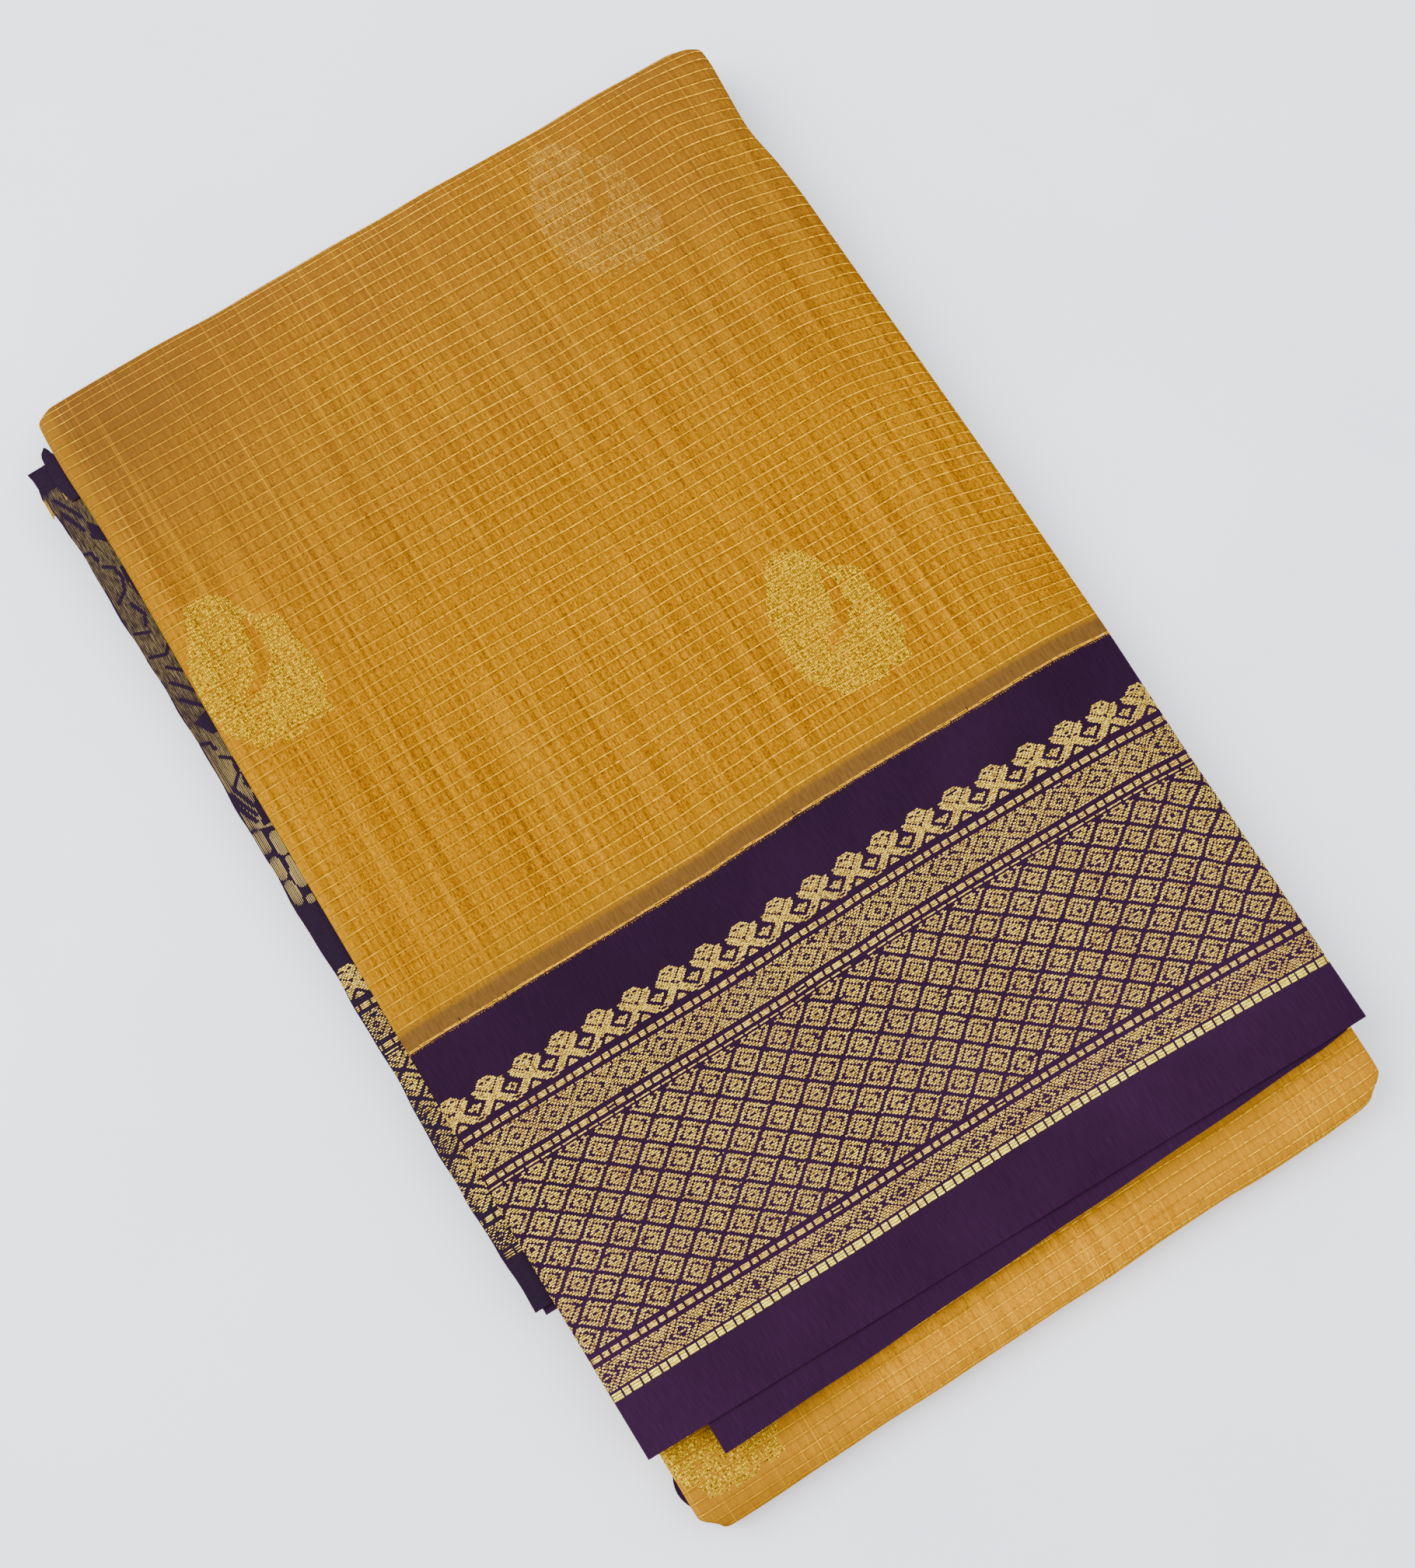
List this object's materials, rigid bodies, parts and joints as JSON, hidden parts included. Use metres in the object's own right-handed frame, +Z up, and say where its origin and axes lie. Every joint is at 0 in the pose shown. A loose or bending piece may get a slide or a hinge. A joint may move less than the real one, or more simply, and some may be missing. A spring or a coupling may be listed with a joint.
{
  "type": "cotton saree, folded",
  "caption": "Folded cotton saree lying flat, gold body with zari lines and a deep woven border along the free edge; a garment wrapped round the body.",
  "frame": {"origin": "middle of the box round the folded cloth, on the surface that it lies on", "axes": "+Z up, +Y from the border at the free edge towards the far fold, +X to the right across the band when the border is nearest"},
  "size_m": [0.2722, 0.427, 0.0301],
  "materials": {
    "gold_cotton": "mustard gold cotton with fine zari lines, soft sheen",
    "zari_border": "deep purple cotton brocaded with gold zari diamonds",
    "purple_border": "plain deep purple cotton",
    "pallu_brocade": "purple cotton with dense antique gold zari flowers",
    "folded_layers": "edges of folded gold cotton layers"
  },
  "bodies": {
    "root": {"flap_border": "zari_border", "flap_body": "gold_cotton", "base_body": "gold_cotton", "second_border": "purple_border", "pallu_edge": "pallu_brocade", "pallu_under_edge": "purple_border", "pallu_tip": "pallu_brocade", "near_scrap": "pallu_brocade", "hidden_layers": "folded_layers"}
  },
  "joints": []
}
